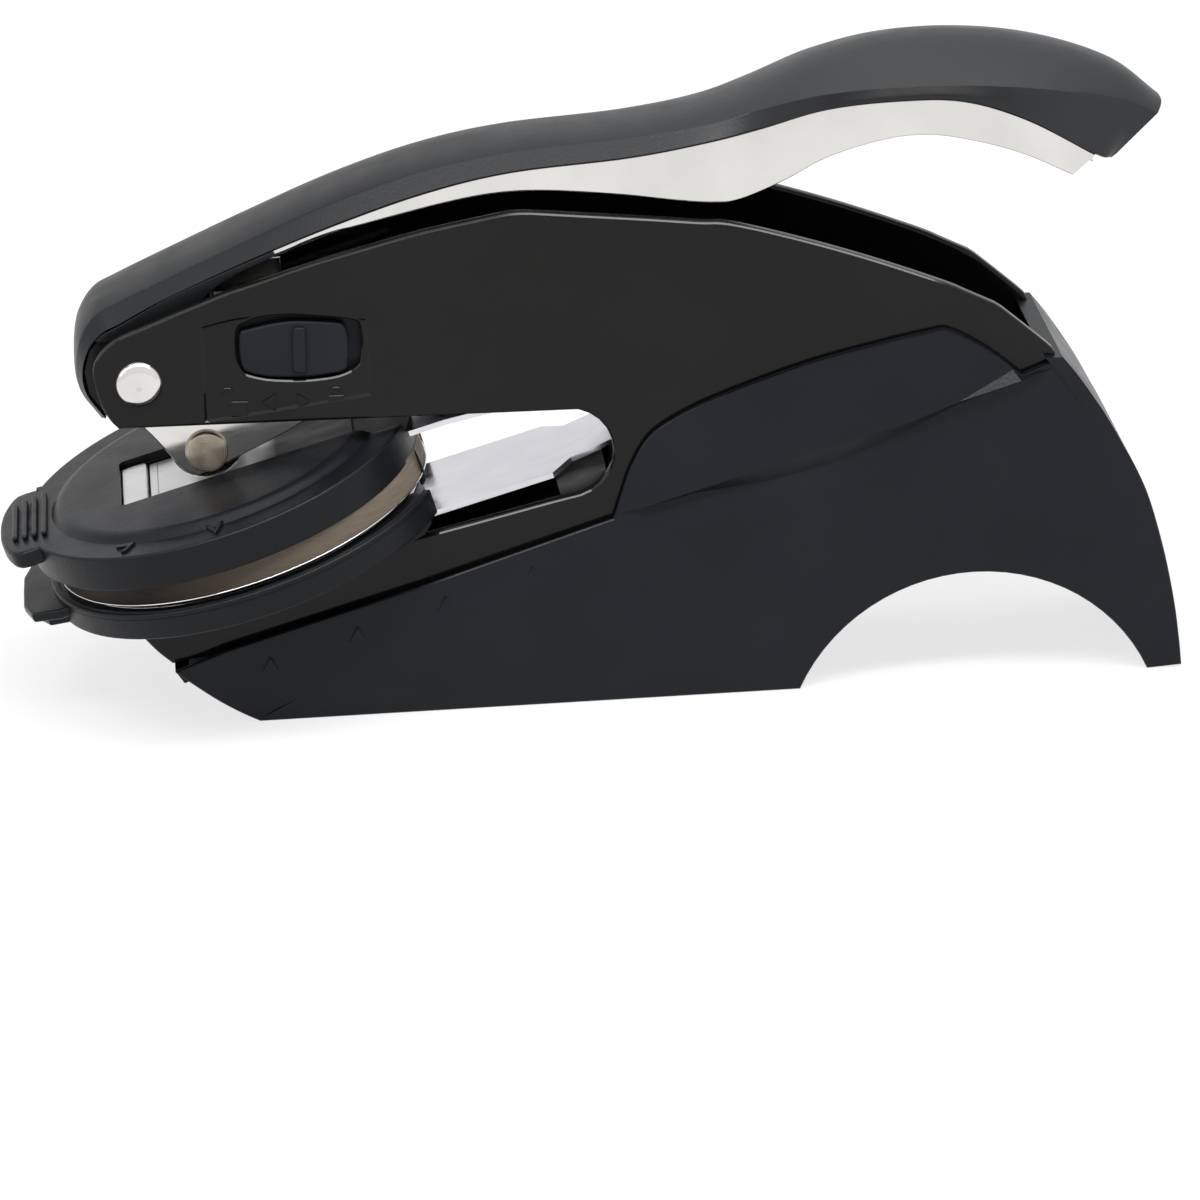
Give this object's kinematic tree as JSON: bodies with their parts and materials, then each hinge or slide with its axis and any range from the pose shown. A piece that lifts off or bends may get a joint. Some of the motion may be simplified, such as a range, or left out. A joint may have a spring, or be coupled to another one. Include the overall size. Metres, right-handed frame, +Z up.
{
  "type": "seal embosser",
  "caption": "Handheld desk seal embosser: a long curved lever turns on a nose rivet between side plates and a roller presses a round slide-out die insert.",
  "frame": {"origin": "on the table, under the middle of the whole length and width", "axes": "+X from the insert at the front to the rear foot, +Y away from the lock side, +Z up"},
  "size_m": [0.1652, 0.0592, 0.0912],
  "materials": {
    "grip_plastic": "satin",
    "plate_paint": "semi-matte black paint",
    "base_plastic": "satin",
    "holder_plastic": "satin",
    "lever_chrome": "polished",
    "die_chrome": "polished",
    "counter_plastic": "satin",
    "spring_steel": "satin",
    "rivet_steel": "satin",
    "screw_steel": "zinc",
    "foot_rubber": "matte",
    "inner_plastic": "satin"
  },
  "bodies": {
    "frame": {"base_shell": "base_plastic", "front_foot_pad": "foot_rubber", "rear_foot_pad": "foot_rubber", "side_plate_left": "plate_paint", "side_plate_right": "plate_paint", "frame_tie_blocks": "spring_steel", "base_screws": "screw_steel", "frame_rivets": "plate_paint", "leaf_guide": "inner_plastic", "main_pivot_pin": "rivet_steel", "pivot_washers": "inner_plastic", "lever_stop_pin": "screw_steel", "lever_return_spring": "spring_steel", "lock_guide_rails": "inner_plastic"},
    "lever": {"lever_channel": "lever_chrome", "grip_cover": "grip_plastic", "grip_screws": "screw_steel", "roller_pin": "rivet_steel", "roller_washers": "inner_plastic"},
    "roller": {"press_roller": "rivet_steel"},
    "lock": {"lock_slider": "holder_plastic", "lock_tongue": "screw_steel"},
    "insert": {"lower_holder": "holder_plastic", "lower_die_plate": "die_chrome", "spring_clip": "spring_steel", "clip_rivets": "rivet_steel"},
    "upper": {"upper_holder": "holder_plastic", "counter_die": "counter_plastic", "pressure_strip": "die_chrome"}
  },
  "joints": [
    {"name": "lever_press", "type": "hinge", "parent": "frame", "child": "lever", "pos_m": [-0.062, 0, 0.0504], "axis": [0, 1, 0], "range_deg": [0, 11], "stiffness_Nm_per_rad": 0.6, "springref_deg": -17.19, "deforming": ["lever_return_spring"]},
    {"name": "roller_spin", "type": "hinge", "parent": "lever", "child": "roller", "pos_m": [-0.05324, 0, 0.03865], "axis": [0, 1, 0], "continuous": true},
    {"name": "lock_slide", "type": "slide", "parent": "frame", "child": "lock", "axis": [1, 0, 0], "range_m": [0, 0.0027]},
    {"name": "insert_slide", "type": "slide", "parent": "frame", "child": "insert", "axis": [-0.9625, 0, -0.2714], "range_m": [0, 0.09]},
    {"name": "die_close", "type": "slide", "parent": "insert", "child": "upper", "axis": [0.2714, 0, -0.9625], "range_m": [0, 0.00075], "deforming": ["spring_clip"]}
  ],
  "couplings": [
    {"joint": "die_close", "follows": "lever_press", "m_per_rad": 0.003907}
  ]
}
